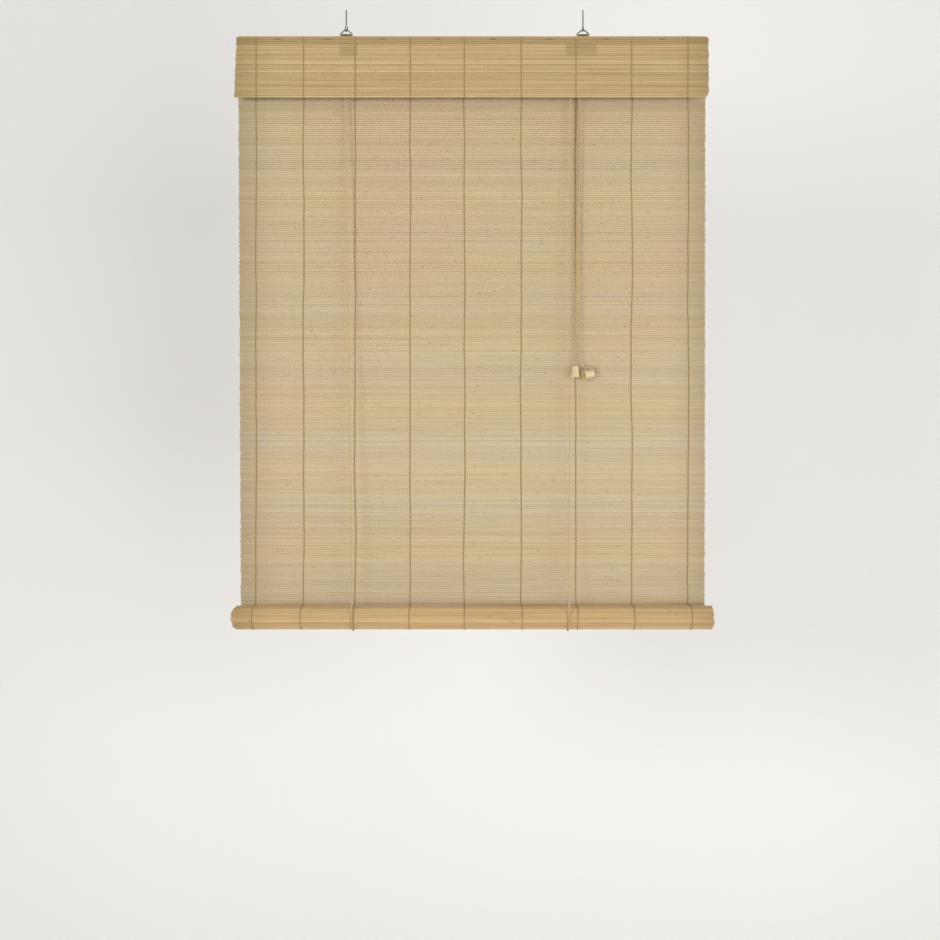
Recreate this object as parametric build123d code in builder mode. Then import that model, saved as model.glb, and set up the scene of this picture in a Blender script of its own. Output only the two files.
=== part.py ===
from build123d import *
import math
import os

# Bamboo roll up blind, 80 cm wide, let down on its two hooks. Millimetres, +Z up.
# +X is to the right for a person facing the blind, and -Y is towards that person.
# The origin lies on the ceiling, midway between the two hooks. The blind's weight
# hangs plumb under them.

os.makedirs("parts", exist_ok=True)

# --- overall sizes -----------------------------------------------------------
hook_spacing = 400.0
blind_offset = 12.5  # the blind's middle lies this far to the right of the hooks' middle
curtain_width = 794.0
valance_width = 796.0
valance_height = 101.0
roll_width = 810.0
roll_drop = 1009.5  # ceiling to the axis of the roll
curtain_set_back = 10.2  # the curtain's middle plane, behind the hooks

# --- weave -------------------------------------------------------------------
slat_height = 3.2
slat_gap = 0.3
slat_thickness = 1.6
thread_width = 1.4
thread_thickness = 0.4
thread_margin = 30.0  # outermost thread to the curtain's edge
thread_drift = (0, -11, -15, -13, -13, -8, -7, -4, 0)  # how far each thread wanders

# --- head rail and staples ---------------------------------------------------
rail_length = 786.0
rail_depth = 20.0
rail_thickness = 12.0
rail_edge = 1.0  # rounding along its four long edges
rail_drop = 33.0  # ceiling to the rail's top
weave_inset = 2.2  # the weave's upper edge, below the rail's top
staple_width = 10.0
staple_wire = 0.7
staple_leg = 7.0

# --- hooks, rings and straps -------------------------------------------------
wire = 2.0  # diameter of the hooks and rings
wire_end_round = 0.4
hook_thread_length = 15.0
hook_loop_radius = 4.2
hook_neck_radius = 2.0
hook_sweep = 195.0  # loop, from level on the right round the bottom, in degrees
left_hook_turn = 35.0  # how far each hook is screwed round
right_hook_turn = 0.0
ring_width = 25.0  # between the corners of the wire's centre line, before rounding
ring_height = 9.6
ring_top_width = 3.2
ring_corner_radius = 1.5
ring_top_radius = 1.5
ring_top_drop = 18.3  # ceiling to the wire's centre at the ring's top
strap_width = 15.0
strap_thickness = 1.0
strap_reach = 8.6  # from the ring's bar to the end of a foot

# --- lift cords, pulley and cord lock ----------------------------------------
cord = 2.0  # diameter
left_lift_x = -187.0  # at the roll
right_lift_x = 173.6
groove_radius = 6.2
flange_radius = 9.0
wheel_width = 4.4
wheel_drop = 12.5  # rail's underside to a wheel's axis
pulley_x = -195.0
pulley_length = 30.0
lock_wheel_x = 187.0
lock_x = 196.0
lock_length = 51.0
lock_gap = 14.0  # between the lock's cheeks
frame_height = 22.0
sheet = 1.0  # thickness of the pressed frames
axle = 3.0  # diameter
rivet_lip = 1.0  # head beyond the pin, all round
rivet_head_height = 0.8
flange_edge = 0.6  # width of a wheel's flange at its rim
cam_x = 208.0
cam_drop = 7.0  # rail's underside to the cam's pin
cam_width = 10.0
cam_boss = 2.0  # metal round the cam's pin
cam_tooth = 0.8
cam_tooth_count = 3
cam_nose_drop = 3.0  # wheel's axis to the first tooth
cam_nose_depth = 2.0  # cord's side to the metal behind the teeth
cam_shoulder = (2.6, 2.2)  # from the pin, sideways and up
cam_heel = (3.0, 5.6)  # from the pin, sideways and down
cam_tail = (9.5, 12.0)
cam_tail_step = 3.6  # pin to the tail's upper corner, down
eye_radius = 3.0
eye_wire = 1.6
anchor_knot = 4.4  # diameter
eye_offset = 7.0  # each eye lies this far to the left of its cord's place under the roll

# --- screws ------------------------------------------------------------------
screw_head_round = 0.6  # of the head's height
screw_head = 6.0
screw_head_height = 1.5
screw_shank = 2.8
screw_length = 9.0
small_screw_head = 4.4
small_screw_height = 1.2
small_screw_shank = 2.0
small_screw_length = 8.0
pulley_screw_reach = 10.5  # screw to the middle of its frame
lock_screw_reach = 20.5
strap_screw_reach = 6.0

# --- roll --------------------------------------------------------------------
lath_length = 786.0
lath_width = 18.6
lath_thickness = 6.0
lath_edge = 0.3
half_turns = 8
turn_gap = 0.2
core_gap = 0.23

# --- tassels -----------------------------------------------------------------
tassel_height = 18.0
tassel_mouth = 16.4  # diameter
tassel_top = 11.4  # diameter
tassel_wall = 1.5
tassel_crown = 2.4  # thickness of its top
tassel_belly = 0.4  # how far its side is hollowed between the ends
tassel_lead = 11.5  # straight run of cord into a leaning tassel
tassel_hole = 2.6
tassel_knot = 5.2  # diameter
left_tassel_place = (187.0, -1.0, -596.7)  # middle of each bell
right_tassel_place = (208.8, -1.4, -600.6)
right_tassel_tilt = 80.0  # it lies on its side, its mouth to the left
right_tassel_turn = 22.0  # and a little to the front

# The pull cords' routes, from the lock to the tassels. Each ends at its tassel.
left_pull_route = [
    (194.3, -3.4, -84),
    (193.2, -2.8, -136),
    (191.3, -2.0, -240),
    (189.2, -1.3, -400),
]
right_pull_route = [
    (194.7, 1.0, -84),
    (194.9, 0.3, -136),
    (193.6, -0.5, -240),
    (191.9, -1.0, -390),
    (192.6, -1.4, -500),
    (193.2, -1.4, -560),
    (195.5, -1.0, -588),
    (209.0, 0.5, -590),
    (223.5, 3.5, -586.5),
]

# --- clearances --------------------------------------------------------------
running_gap = 0.3
pin_gap = 0.1
press_gap = 0.03

# --- places that follow ------------------------------------------------------
slat_pitch = slat_height + slat_gap
weave_thickness = slat_thickness + 2 * thread_thickness
weave_front = curtain_set_back - weave_thickness / 2
weave_back = curtain_set_back + weave_thickness / 2
rail_back = weave_front
rail_front = rail_back - rail_depth
rail_y = (rail_back + rail_front) / 2
rail_top = -rail_drop
rail_bottom = rail_top - rail_thickness
rail_z = (rail_top + rail_bottom) / 2
valance_set_back = rail_front - weave_thickness / 2
weave_top = rail_top - weave_inset
left_hook_x = -hook_spacing / 2
right_hook_x = hook_spacing / 2
cord_radius = cord / 2
wheel_z = rail_bottom - wheel_drop
cord_turn_radius = groove_radius + running_gap + cord_radius
front_groove_y = rail_y - wheel_width / 2 - running_gap
back_groove_y = rail_y + wheel_width / 2 + running_gap
cam_z = rail_bottom - cam_drop
core_radius = math.hypot(lath_width, lath_thickness) / 2 + core_gap
turn_pitch = weave_thickness + turn_gap
roll_radius = core_radius + weave_thickness + (half_turns - 1) * turn_pitch / 2
roll_y = weave_back - roll_radius
roll_z = -roll_drop
bight_radius = roll_radius + running_gap + cord_radius
back_cord_y = roll_y + bight_radius
thread_pitch = (curtain_width - 2 * thread_margin) / (len(thread_drift) - 1)
thread_xs = [
    blind_offset - curtain_width / 2 + thread_margin + number * thread_pitch + drift
    for number, drift in enumerate(thread_drift)
]
staple_xs = [(here + after) / 2 for here, after in zip(thread_xs, thread_xs[1:])]
staple_leg_xs = [
    x + side * (staple_width - staple_wire) / 2 for x in staple_xs for side in (-1, 1)
]
staple_hole = staple_wire + 2 * press_gap
eye_hole = eye_wire + 2 * press_gap
thread_reach = (slat_thickness + thread_thickness) / 2
screw_seat_z = rail_bottom - sheet  # underside of a frame's top plate
pulley_screws_at = [(pulley_x + side * pulley_screw_reach, back_groove_y) for side in (-1, 1)]
lock_screws_at = [(lock_x + side * lock_screw_reach, rail_y) for side in (-1, 1)]
eye_xs = [x - eye_offset for x in (left_lift_x, right_lift_x)]
strap_screws_at = [
    (x, y)
    for x in (left_hook_x, right_hook_x)
    for y in (-strap_screw_reach, strap_screw_reach)
]
ring_bar_z = -ring_top_drop - ring_height
eye_z = rail_z


def save(builder, name):
    builder.part.label = name
    export_step(builder.part, f"parts/{name}.step")


def round_bar(start, end, diameter):
    """A straight round bar between two points."""
    with BuildPart() as bar:
        with BuildLine():
            run = Line(start, end)
        with BuildSketch(Plane(origin=run @ 0, z_dir=run % 0)):
            Circle(diameter / 2)
        extrude(amount=run.length)
    return bar


def screw(places, seat_z, direction, head, head_height, shank, length):
    """Round-headed wood screws whose heads bear at seat_z and whose shanks point along direction."""
    with BuildPart() as screws:
        for x, y in places:
            with BuildSketch(Plane.XY.offset(seat_z)):
                with Locations((x, y)):
                    Circle(head / 2)
            extrude(amount=-direction * head_height)
            with BuildSketch(Plane.XY.offset(seat_z)):
                with Locations((x, y)):
                    Circle(shank / 2)
            extrude(amount=direction * length)
        outer = screws.faces().sort_by(Axis.Z)[-len(places):]
        if direction > 0:
            outer = screws.faces().sort_by(Axis.Z)[: len(places)]
        fillet(outer.edges(), head_height * screw_head_round)
    return screws


# --- hooks -------------------------------------------------------------------
hook_seat_z = -ring_top_drop - wire - running_gap  # centre of the wire at the hook's bottom
hook_loop_z = hook_seat_z + hook_loop_radius
neck_angle = math.degrees(math.acos(hook_neck_radius / (hook_neck_radius + hook_loop_radius)))
neck_z = hook_loop_z + (hook_neck_radius + hook_loop_radius) * math.sin(math.radians(neck_angle))
for name, hook_x, turn in (
    ("left_screw_hook", left_hook_x, left_hook_turn),
    ("right_screw_hook", right_hook_x, right_hook_turn),
):
    hook_plane = Plane(
        origin=(hook_x, 0, 0),
        x_dir=(-math.sin(math.radians(turn)), math.cos(math.radians(turn)), 0),
        z_dir=(math.cos(math.radians(turn)), math.sin(math.radians(turn)), 0),
    )
    with BuildPart() as hook:
        with BuildLine(hook_plane):
            shank = Line((0, hook_thread_length), (0, neck_z))
            neck = JernArc(shank @ 1, shank % 1, hook_neck_radius, neck_angle)
            JernArc(neck @ 1, neck % 1, hook_loop_radius, -(neck_angle + hook_sweep))
        with BuildSketch(Plane(origin=shank @ 0, z_dir=shank % 0)):
            Circle(wire / 2)
        sweep()
        fillet(hook.faces().filter_by(GeomType.PLANE).edges(), wire_end_round)
    save(hook, name)

# --- rings -------------------------------------------------------------------
for name, ring_x in (("left_hanger_ring", left_hook_x), ("right_hanger_ring", right_hook_x)):
    with BuildPart() as ring:
        with BuildLine(Plane.XZ):
            FilletPolyline(
                (ring_x - ring_top_width / 2, -ring_top_drop),
                (ring_x + ring_top_width / 2, -ring_top_drop),
                (ring_x + ring_width / 2, ring_bar_z),
                (ring_x - ring_width / 2, ring_bar_z),
                radius=[ring_top_radius, ring_top_radius, ring_corner_radius, ring_corner_radius],
                close=True,
            )
        with BuildSketch(Plane(origin=(ring_x, 0, ring_bar_z), z_dir=(1, 0, 0))):
            Circle(wire / 2)
        sweep()
    save(ring, name)

# --- straps over the rings' bars ---------------------------------------------
strap_inside = wire / 2 + running_gap
strap_outside = strap_inside + strap_thickness
strap_leg = ring_bar_z - rail_top
for name, strap_x in (("left_hanger_strap", left_hook_x), ("right_hanger_strap", right_hook_x)):
    with BuildPart() as strap:
        with BuildSketch(Plane.YZ.offset(strap_x - strap_width / 2)):
            with Locations((0, ring_bar_z)):
                Circle(strap_outside)
            with Locations((0, rail_top + strap_leg / 2)):
                Rectangle(2 * strap_outside, strap_leg)
            with Locations((0, rail_top + strap_thickness / 2)):
                Rectangle(2 * strap_reach, strap_thickness)
            with Locations((0, ring_bar_z)):
                Circle(strap_inside, mode=Mode.SUBTRACT)
            with Locations((0, rail_top + strap_leg / 2)):
                Rectangle(2 * strap_inside, strap_leg, mode=Mode.SUBTRACT)
        extrude(amount=strap_width)
        fillet(strap.edges().filter_by(Axis.Z).group_by(SortBy.LENGTH)[0], strap_thickness)
        with Locations(
            (strap_x, -strap_screw_reach, rail_top), (strap_x, strap_screw_reach, rail_top)
        ):
            Cylinder(small_screw_shank / 2 + pin_gap, 3 * strap_thickness, mode=Mode.SUBTRACT)
    save(strap, name)

strap_screws = screw(
    strap_screws_at,
    rail_top + strap_thickness,
    -1,
    small_screw_head,
    small_screw_height,
    small_screw_shank,
    small_screw_length,
)
save(strap_screws, "strap_screws")

# --- head rail ---------------------------------------------------------------
with BuildPart() as head_rail:
    with Locations((blind_offset, rail_y, rail_z)):
        Box(rail_length, rail_depth, rail_thickness)
    fillet(head_rail.edges().filter_by(Axis.X), rail_edge)
    for places, z, shank, length in (
        (strap_screws_at, rail_top, small_screw_shank, small_screw_length),
        (pulley_screws_at, rail_bottom, small_screw_shank, small_screw_length),
        (lock_screws_at, rail_bottom, screw_shank, screw_length),
    ):
        with Locations([(x, y, z) for x, y in places]):
            Cylinder(shank / 2 + press_gap, 2 * length, mode=Mode.SUBTRACT)
    with Locations([(x, rail_y, rail_z) for x in staple_leg_xs]):
        Box(staple_hole, 2 * rail_depth, staple_hole, mode=Mode.SUBTRACT)
    with Locations([(x, rail_back, eye_z) for x in eye_xs]):
        Cylinder(eye_wire / 2 + press_gap, rail_depth, rotation=(90, 0, 0), mode=Mode.SUBTRACT)
save(head_rail, "head_rail")

# --- curtain -----------------------------------------------------------------
curtain_foot = roll_z + running_gap
slat_count = int((weave_top - curtain_foot + slat_gap) / slat_pitch)
curtain_top = curtain_foot + slat_count * slat_pitch - slat_gap
with BuildPart() as curtain_slats:
    slat_middle = (curtain_foot + curtain_top) / 2
    with BuildSketch(Plane.YZ.offset(blind_offset - curtain_width / 2)):
        with Locations((curtain_set_back, slat_middle)):
            with GridLocations(slat_thickness, slat_pitch, 1, slat_count):
                Rectangle(slat_thickness, slat_height)
    extrude(amount=curtain_width)
    with Locations([(x, curtain_set_back, rail_z) for x in staple_leg_xs]):
        Box(staple_hole, 2 * weave_thickness, staple_hole, mode=Mode.SUBTRACT)
    with Locations([(x, curtain_set_back, eye_z) for x in eye_xs]):
        Box(eye_hole, 2 * weave_thickness, eye_hole, mode=Mode.SUBTRACT)
save(curtain_slats, "curtain_slats")

with BuildPart() as curtain_threads:
    with Locations(
        [
            (x, curtain_set_back + side * thread_reach, slat_middle)
            for x in thread_xs
            for side in (-1, 1)
        ]
    ):
        Box(thread_width, thread_thickness, curtain_top - curtain_foot)
save(curtain_threads, "curtain_threads")

# --- valance -----------------------------------------------------------------
valance_count = round(valance_height / slat_pitch)
valance_foot = weave_top - valance_count * slat_pitch + slat_gap
with BuildPart() as valance_slats:
    with BuildSketch(Plane.YZ.offset(blind_offset - valance_width / 2)):
        with Locations((valance_set_back, (weave_top + valance_foot) / 2)):
            with GridLocations(slat_thickness, slat_pitch, 1, valance_count):
                Rectangle(slat_thickness, slat_height)
    extrude(amount=valance_width)
    with Locations([(x, valance_set_back, rail_z) for x in staple_leg_xs]):
        Box(staple_hole, 2 * weave_thickness, staple_hole, mode=Mode.SUBTRACT)
save(valance_slats, "valance_slats")

with BuildPart() as valance_threads:
    with Locations(
        [
            (x, valance_set_back + side * thread_reach, (weave_top + valance_foot) / 2)
            for x in thread_xs
            for side in (-1, 1)
        ]
    ):
        Box(thread_width, thread_thickness, weave_top - valance_foot)
save(valance_threads, "valance_threads")

# --- staples -----------------------------------------------------------------
for name, face_y, inward in (
    ("curtain_staples", curtain_set_back + slat_thickness / 2, -1),
    ("valance_staples", valance_set_back - slat_thickness / 2, 1),
):
    with BuildPart() as staples:
        with Locations([(x, face_y - inward * staple_wire / 2, rail_z) for x in staple_xs]):
            Box(staple_width, staple_wire, staple_wire)
        with Locations([(x, face_y + inward * staple_leg / 2, rail_z) for x in staple_leg_xs]):
            Box(staple_wire, staple_leg, staple_wire)
    save(staples, name)

# --- pulley and cord lock: frames, wheels, axles -----------------------------


def pressed_frame(middle_x, middle_y, length, gap, pins, screw_places, shank):
    """A pressed frame screwed under the rail: a top plate and two hanging cheeks."""
    depth = gap + 2 * sheet
    with BuildPart() as frame:
        with Locations((middle_x, middle_y, rail_bottom - frame_height / 2)):
            Box(length, depth, frame_height)
        with Locations((middle_x, middle_y, rail_bottom - sheet - frame_height / 2)):
            Box(2 * length, gap, frame_height, mode=Mode.SUBTRACT)
        corners = frame.edges().filter_by(Axis.Y).group_by(Axis.Z)[0]
        fillet(corners, frame_height / 5)
        for x, z in pins:
            with Locations((x, middle_y, z)):
                Cylinder(
                    axle / 2 + press_gap, 2 * depth, rotation=(90, 0, 0), mode=Mode.SUBTRACT
                )
        with Locations([(x, y, rail_bottom) for x, y in screw_places]):
            Cylinder(shank / 2 + pin_gap, 4 * sheet, mode=Mode.SUBTRACT)
    return frame


def rivet(x, z, middle_y, gap):
    """A pin through both cheeks, with a low head outside each."""
    half = gap / 2 + sheet + press_gap
    with BuildPart() as pin:
        with Locations((x, middle_y, z)):
            Cylinder(axle / 2, 2 * half, rotation=(90, 0, 0))
        for side in (-1, 1):
            with Locations((x, middle_y + side * (half + rivet_head_height / 2), z)):
                Cylinder(axle / 2 + rivet_lip, rivet_head_height, rotation=(90, 0, 0))
        ends = pin.faces().sort_by(Axis.Y)
        fillet((ends[0].edges() + ends[-1].edges()), rivet_head_height / 2)
    return pin


def cord_wheel(x, middle_y):
    """A grooved wheel on an axle along Y."""
    rim = wheel_width / 2
    with BuildPart() as wheel:
        with BuildSketch(Plane(origin=(x, middle_y, wheel_z))):
            with BuildLine():
                Polyline(
                    (axle / 2 + pin_gap, -rim),
                    (flange_radius, -rim),
                    (flange_radius, -rim + flange_edge),
                    (groove_radius, -cord_radius),
                    (groove_radius, cord_radius),
                    (flange_radius, rim - flange_edge),
                    (flange_radius, rim),
                    (axle / 2 + pin_gap, rim),
                    close=True,
                )
            make_face()
        revolve(axis=Axis((x, middle_y, wheel_z), (0, 1, 0)))
    return wheel


single_gap = wheel_width + 2 * running_gap
pulley_frame = pressed_frame(
    pulley_x,
    back_groove_y,
    pulley_length,
    single_gap,
    [(pulley_x, wheel_z)],
    pulley_screws_at,
    small_screw_shank,
)
save(pulley_frame, "pulley_frame")
save(rivet(pulley_x, wheel_z, back_groove_y, single_gap), "pulley_axle")
save(cord_wheel(pulley_x, back_groove_y), "pulley_wheel")
lock_pins = [(lock_wheel_x, wheel_z), (cam_x, cam_z)]
lock_frame = pressed_frame(
    lock_x, rail_y, lock_length, lock_gap, lock_pins, lock_screws_at, screw_shank
)
save(lock_frame, "lock_frame")
save(rivet(lock_wheel_x, wheel_z, rail_y, lock_gap), "lock_axle")
save(rivet(cam_x, cam_z, rail_y, lock_gap), "lock_cam_pin")
save(cord_wheel(lock_wheel_x, front_groove_y), "front_lock_wheel")
save(cord_wheel(lock_wheel_x, back_groove_y), "back_lock_wheel")

spacer_length = lock_gap / 2 - wheel_width - 3 * running_gap
with BuildPart() as lock_spacers:
    for side in (-1, 1):
        y = rail_y + side * (lock_gap / 2 - running_gap / 2 - spacer_length / 2)
        with Locations((lock_wheel_x, y, wheel_z)):
            Cylinder(axle, spacer_length, rotation=(90, 0, 0))
            Cylinder(
                axle / 2 + pin_gap, 2 * spacer_length, rotation=(90, 0, 0), mode=Mode.SUBTRACT
            )
save(lock_spacers, "lock_spacers")

pulley_screws = screw(
    pulley_screws_at,
    screw_seat_z,
    1,
    small_screw_head,
    small_screw_height,
    small_screw_shank,
    small_screw_length,
)
save(pulley_screws, "pulley_screws")
lock_screws = screw(
    lock_screws_at, screw_seat_z, 1, screw_head, screw_head_height, screw_shank, screw_length
)
save(lock_screws, "lock_screws")

# --- locking cam: a toothed nose that bears on the cords, and a heavier tail -----
cord_side_x = lock_wheel_x + cord_turn_radius + cord_radius + running_gap
cam_nose_x = cord_side_x + cam_nose_depth
nose_top = wheel_z - cam_nose_drop
with BuildPart() as lock_cam:
    with BuildSketch(Plane.XZ.offset(-rail_y - cam_width / 2)):
        with BuildLine():
            points = [
                (cam_x - cam_shoulder[0], cam_z + cam_shoulder[1]),
                (cam_nose_x, nose_top + 1.5 * cam_tooth),
            ]
            for number in range(cam_tooth_count):
                z = nose_top - number * 2 * cam_tooth
                points += [(cord_side_x, z), (cord_side_x + cam_tooth, z - cam_tooth)]
            points += [
                (cam_nose_x, nose_top - cam_tooth_count * 2 * cam_tooth),
                (cam_x - cam_heel[0], cam_z - cam_heel[1]),
                (cam_x + cam_heel[0] / 3, cam_z - cam_tail[1]),
                (cam_x + cam_tail[0], cam_z - cam_tail[1]),
                (cam_x + cam_tail[0], cam_z - cam_tail_step),
                (cam_x + cam_shoulder[0], cam_z + cam_shoulder[1]),
            ]
            Polyline(*points, close=True)
        make_face()
        with Locations((cam_x, cam_z)):
            Circle(axle / 2 + cam_boss)
            Circle(axle / 2 + pin_gap, mode=Mode.SUBTRACT)
    extrude(amount=cam_width)
save(lock_cam, "lock_cam")

# --- cords --------------------------------------------------------------------


def cord_arc_radii(points):
    """The largest arc at each corner that leaves a short straight between neighbours."""
    share = 0.45
    corners = [Vector(*point) for point in points]
    radii = []
    for before, corner, after in zip(corners, corners[1:], corners[2:]):
        run_in = corner - before
        run_out = after - corner
        half_turn = math.radians(run_in.get_angle(run_out)) / 2
        radii.append(share * min(run_in.length, run_out.length) / math.tan(half_turn))
    return radii


def cord_on_route(points):
    """A cord whose straight runs are joined by arcs."""
    with BuildPart() as strand:
        with BuildLine() as route:
            FilletPolyline(*points, radius=cord_arc_radii(points))
        with BuildSketch(Plane(origin=route.line @ 0, z_dir=route.line % 0)):
            Circle(cord_radius)
        sweep()
    return strand, route.wires()[0].length


def cord_on_line(line_builder):
    """A cord along the line of a finished BuildLine."""
    with BuildPart() as strand:
        add(line_builder.line)
        with BuildSketch(Plane(origin=line_builder.line @ 0, z_dir=line_builder.line % 0)):
            Circle(cord_radius)
        sweep()
    return strand


# A screw eye behind the curtain holds each lift cord's end, tied in a loop and a knot.
eye_y = weave_back + running_gap + eye_wire / 2 + eye_radius
loop_z = eye_z - eye_radius + eye_wire / 2 + pin_gap + cord_radius - eye_radius
anchor_knot_z = loop_z - eye_radius - anchor_knot / 2
for side, anchor_x in zip(("left", "right"), eye_xs):
    with BuildPart() as cord_eye:
        with BuildSketch(Plane.XZ.offset(-(eye_y - eye_radius))):
            with Locations((anchor_x, eye_z)):
                Circle(eye_wire / 2)
        extrude(amount=rail_depth / 2 + weave_thickness)
        with Locations((anchor_x, eye_y, eye_z)):
            Torus(eye_radius, eye_wire / 2, rotation=(0, 90, 0))
    save(cord_eye, f"{side}_cord_eye")
    with BuildPart() as knot:
        with Locations((anchor_x, eye_y, loop_z)):
            Torus(eye_radius, cord_radius, rotation=(90, 0, 0))
        with Locations((anchor_x, eye_y, anchor_knot_z)):
            Sphere(anchor_knot / 2)
    save(knot, f"{side}_anchor_knot")

# Each lift cord drops behind the curtain, passes under the roll, climbs the front
# and turns over a wheel.
lift_runs = (
    ("left", left_lift_x, pulley_x - cord_turn_radius, back_groove_y),
    ("right", right_lift_x, lock_wheel_x - cord_turn_radius, front_groove_y),
)
for side, roll_x, wheel_x, groove_y in lift_runs:
    reach_y = groove_y - roll_y
    reach_z = wheel_z - roll_z
    reach = math.hypot(reach_y, reach_z)
    leave_angle = math.degrees(math.atan2(reach_z, reach_y) + math.acos(bight_radius / reach))
    with BuildLine(Plane.YZ.offset(roll_x)) as bight_line:
        CenterArc((roll_y, roll_z), bight_radius, 0, leave_angle - 360)
    save(cord_on_line(bight_line), f"{side}_cord_bight")
    leaving = Vector(
        roll_x,
        roll_y + bight_radius * math.cos(math.radians(leave_angle)),
        roll_z + bight_radius * math.sin(math.radians(leave_angle)),
    )
    arriving = Vector(wheel_x, groove_y, wheel_z)
    climb = (arriving - leaving).normalized()
    save(
        round_bar(leaving + climb * running_gap, arriving - climb * press_gap, cord),
        f"{side}_front_cord",
    )
    knot_foot = Vector(roll_x - eye_offset, eye_y, anchor_knot_z - anchor_knot / 2 - pin_gap)
    save(
        round_bar(knot_foot, Vector(roll_x, back_cord_y, roll_z + running_gap), cord),
        f"{side}_back_cord",
    )

with BuildLine(Plane.XZ.offset(-back_groove_y)) as crossing_line:
    over_pulley = CenterArc((pulley_x, wheel_z), cord_turn_radius, 180, -90)
    Line(over_pulley @ 1, (lock_wheel_x, wheel_z + cord_turn_radius))
    CenterArc((lock_wheel_x, wheel_z), cord_turn_radius, 90, -90)
save(cord_on_line(crossing_line), "left_cord_crossing")

with BuildLine(Plane.XZ.offset(-front_groove_y)) as turn_line:
    CenterArc((lock_wheel_x, wheel_z), cord_turn_radius, 180, -180)
save(cord_on_line(turn_line), "right_cord_turn")

# --- roll ---------------------------------------------------------------------
# The weave is wound in half turns. Each half turn, going inwards, is smaller by half
# the pitch, and its centre moves over so that the halves meet in one line.
with BuildPart() as rolled_weave:
    with BuildSketch(Plane.YZ.offset(blind_offset - roll_width / 2)):
        with BuildLine():
            for number in range(half_turns):
                outer = roll_radius - number * turn_pitch / 2
                inner = outer - weave_thickness
                odd = number % 2
                centre = (roll_y - odd * turn_pitch / 2, roll_z)
                start = 180 * odd
                outside = CenterArc(centre, outer, start, -180)
                inside = CenterArc(centre, inner, start, -180)
                if number == 0:
                    Line(outside @ 0, inside @ 0)
            Line(outside @ 1, inside @ 1)
        make_face()
    extrude(amount=roll_width)
save(rolled_weave, "rolled_weave")

core_y = roll_y - (1 - half_turns % 2) * turn_pitch / 2
with BuildPart() as bottom_lath:
    with Locations((blind_offset, core_y, roll_z)):
        Box(lath_length, lath_width, lath_thickness)
    fillet(bottom_lath.edges().filter_by(Axis.X), lath_edge)
save(bottom_lath, "bottom_lath")

# --- tassels and pull cords ------------------------------------------------------
half_height = tassel_height / 2
for side, place, tilt, turn, route, groove_y in (
    ("left", left_tassel_place, 0.0, 0.0, left_pull_route, front_groove_y),
    (
        "right",
        right_tassel_place,
        right_tassel_tilt,
        right_tassel_turn,
        right_pull_route,
        back_groove_y,
    ),
):
    lean = math.radians(tilt)
    heading = math.radians(turn)
    sideways = Vector(math.cos(heading), math.sin(heading), 0)
    bell_plane = Plane(
        origin=place,
        x_dir=sideways * math.cos(lean) - Vector(0, 0, math.sin(lean)),
        z_dir=(math.sin(heading), -math.cos(heading), 0),
    )
    axis = bell_plane.y_dir
    with BuildPart() as tassel:
        with BuildSketch(bell_plane):
            with BuildLine():
                Line((tassel_hole / 2, half_height), (tassel_top / 2, half_height))
                SagittaArc(
                    (tassel_top / 2, half_height), (tassel_mouth / 2, -half_height), -tassel_belly
                )
                SagittaArc(
                    (tassel_mouth / 2, -half_height),
                    (tassel_mouth / 2 - tassel_wall, -half_height),
                    -tassel_wall / 4,
                )
                SagittaArc(
                    (tassel_mouth / 2 - tassel_wall, -half_height),
                    (tassel_top / 2 - tassel_wall / 2, half_height - tassel_crown),
                    tassel_belly,
                )
                Polyline(
                    (tassel_top / 2 - tassel_wall / 2, half_height - tassel_crown),
                    (tassel_hole / 2, half_height - tassel_crown),
                    (tassel_hole / 2, half_height),
                )
            make_face()
        revolve(axis=Axis(place, axis))
    save(tassel, f"{side}_tassel")

    top = Vector(*place) + axis * half_height
    knot_radius = tassel_knot / 2
    knot_middle = half_height - tassel_crown - knot_radius
    stem_foot = knot_middle + math.sqrt(knot_radius**2 - cord_radius**2)
    with BuildPart() as tassel_knot_piece:
        with BuildSketch(bell_plane):
            with BuildLine():
                Polyline(
                    (0, knot_middle - knot_radius),
                    (0, half_height),
                    (cord_radius, half_height),
                    (cord_radius, stem_foot),
                )
                ThreePointArc(
                    (cord_radius, stem_foot),
                    (knot_radius, knot_middle),
                    (0, knot_middle - knot_radius),
                )
            make_face()
        revolve(axis=Axis(place, axis))
    save(tassel_knot_piece, f"{side}_tassel_knot")

    outlet = (lock_wheel_x + cord_turn_radius, groove_y, wheel_z - press_gap)
    end = top + axis * running_gap
    points = [outlet] + route
    if tilt:
        points.append(tuple(top + axis * tassel_lead))
    points.append(tuple(end))
    pull_cord, pull_length = cord_on_route(points)
    print(side, "pull cord length", round(pull_length, 1))
    print("its arcs", [round(radius) for radius in cord_arc_radii(points)])
    save(pull_cord, f"{side}_pull_cord")
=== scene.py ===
import math

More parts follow.
